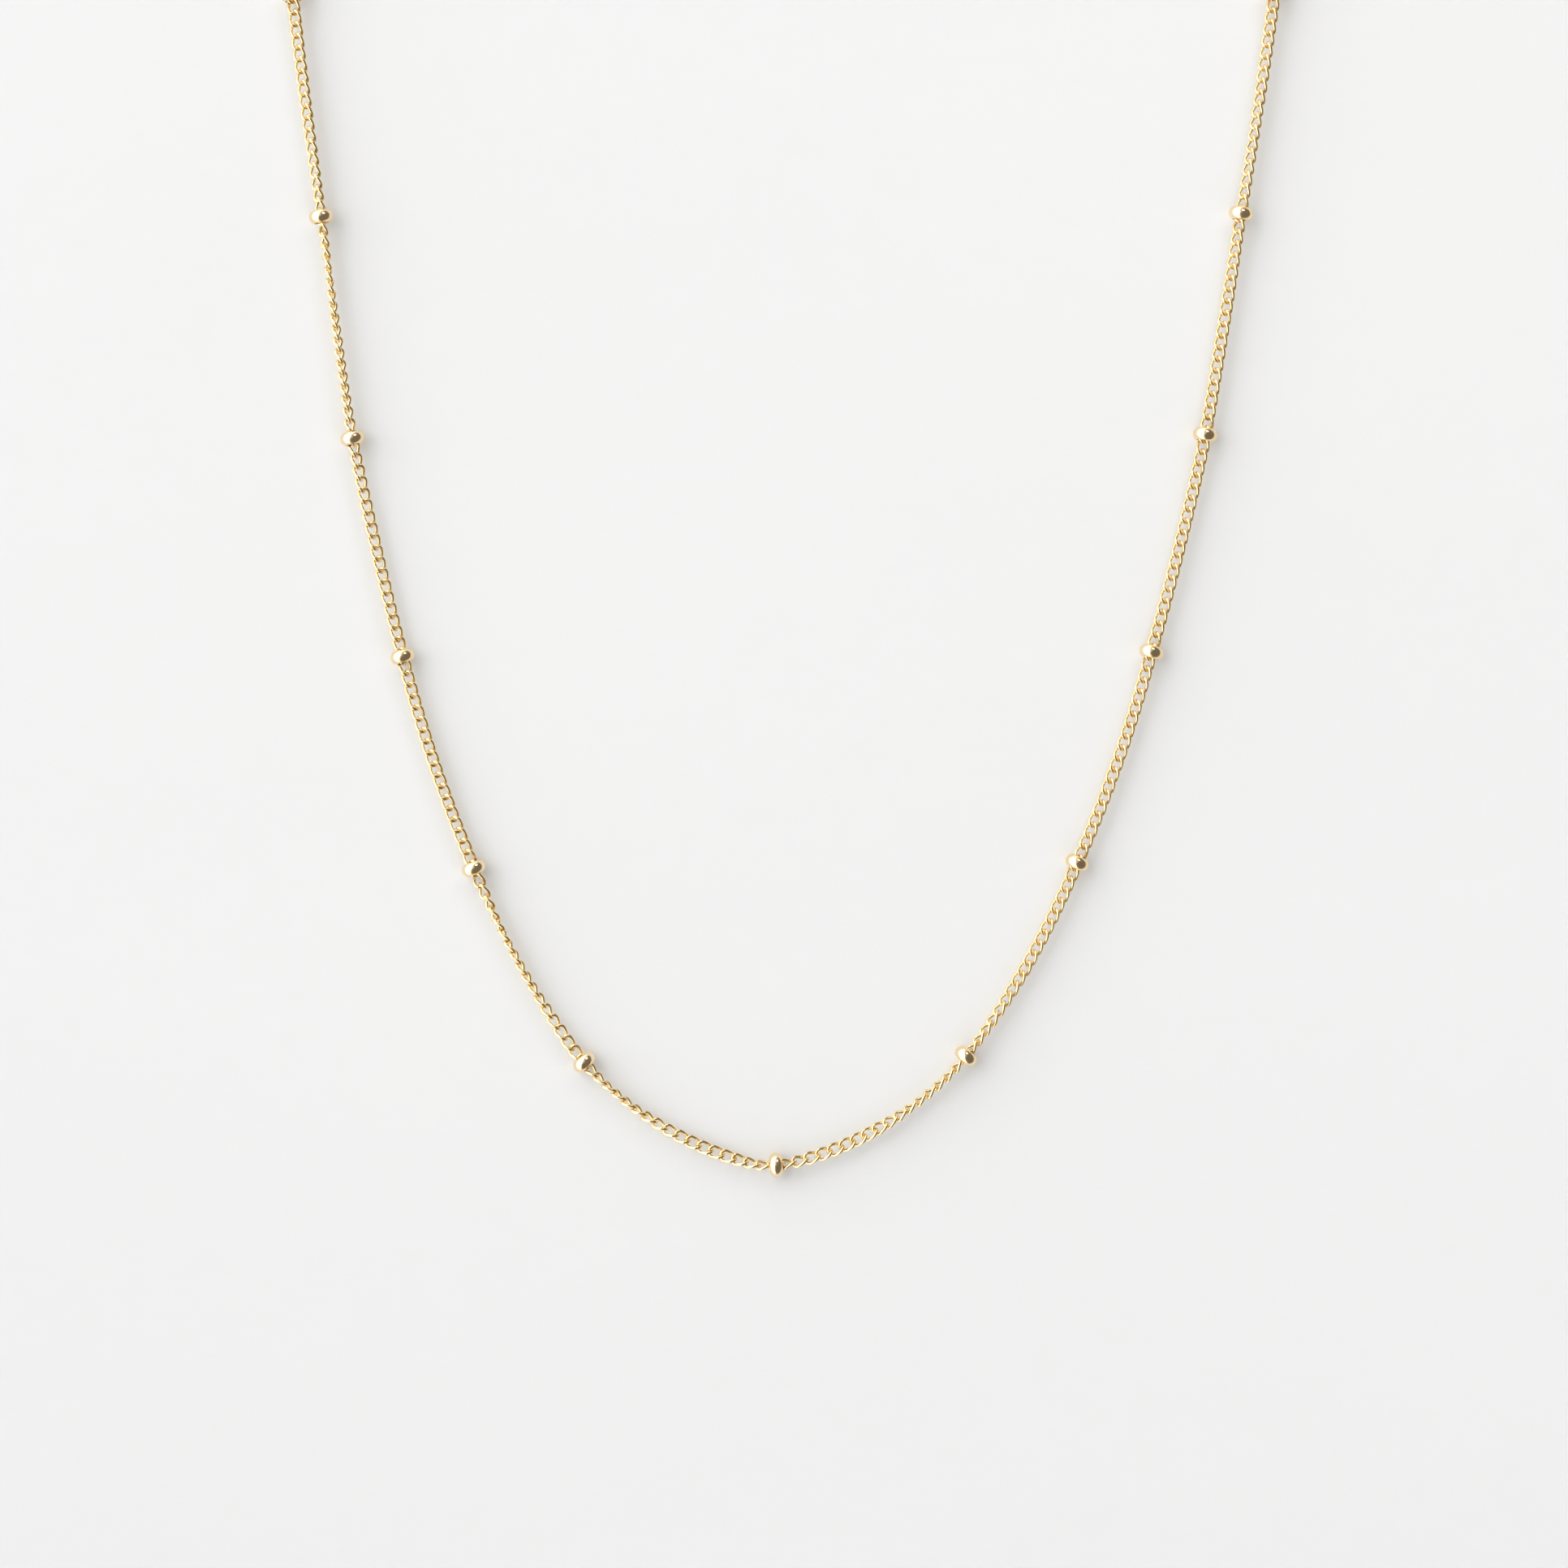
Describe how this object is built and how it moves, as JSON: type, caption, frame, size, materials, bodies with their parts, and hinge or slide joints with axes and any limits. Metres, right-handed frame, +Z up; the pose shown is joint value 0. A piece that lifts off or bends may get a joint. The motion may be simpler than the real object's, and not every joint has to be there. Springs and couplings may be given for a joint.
{
  "type": "station necklace",
  "caption": "Fine curb chain necklace with small polished barrel beads spaced evenly round the whole loop and a plain ring clasp, hanging as an open loop.",
  "frame": {"origin": "middle of the clasp on the line of the chain, at the top of the loop, where the necklace hangs", "axes": "+Z up from the lowest bead to the clasp, +X to the right as in the picture, +Y away from the viewer"},
  "size_m": [0.0929, 0.003, 0.1625],
  "materials": {
    "chain_gold": "polished gold plate on fine curb links",
    "bead_gold": "mirror-polished gold plate",
    "clasp_gold": "polished gold plate"
  },
  "bodies": {
    "root": {"chain": "chain_gold", "clasp": "clasp_gold", "end_ring_left": "clasp_gold", "end_ring_right": "clasp_gold", "bead_01": "bead_gold", "bead_02": "bead_gold", "bead_03": "bead_gold", "bead_04": "bead_gold", "bead_05": "bead_gold", "bead_06": "bead_gold", "bead_07": "bead_gold", "bead_08": "bead_gold", "bead_09": "bead_gold", "bead_10": "bead_gold", "bead_11": "bead_gold", "bead_12": "bead_gold", "bead_13": "bead_gold", "bead_14": "bead_gold", "bead_15": "bead_gold", "bead_16": "bead_gold", "bead_17": "bead_gold", "bead_18": "bead_gold", "bead_19": "bead_gold"}
  },
  "joints": []
}
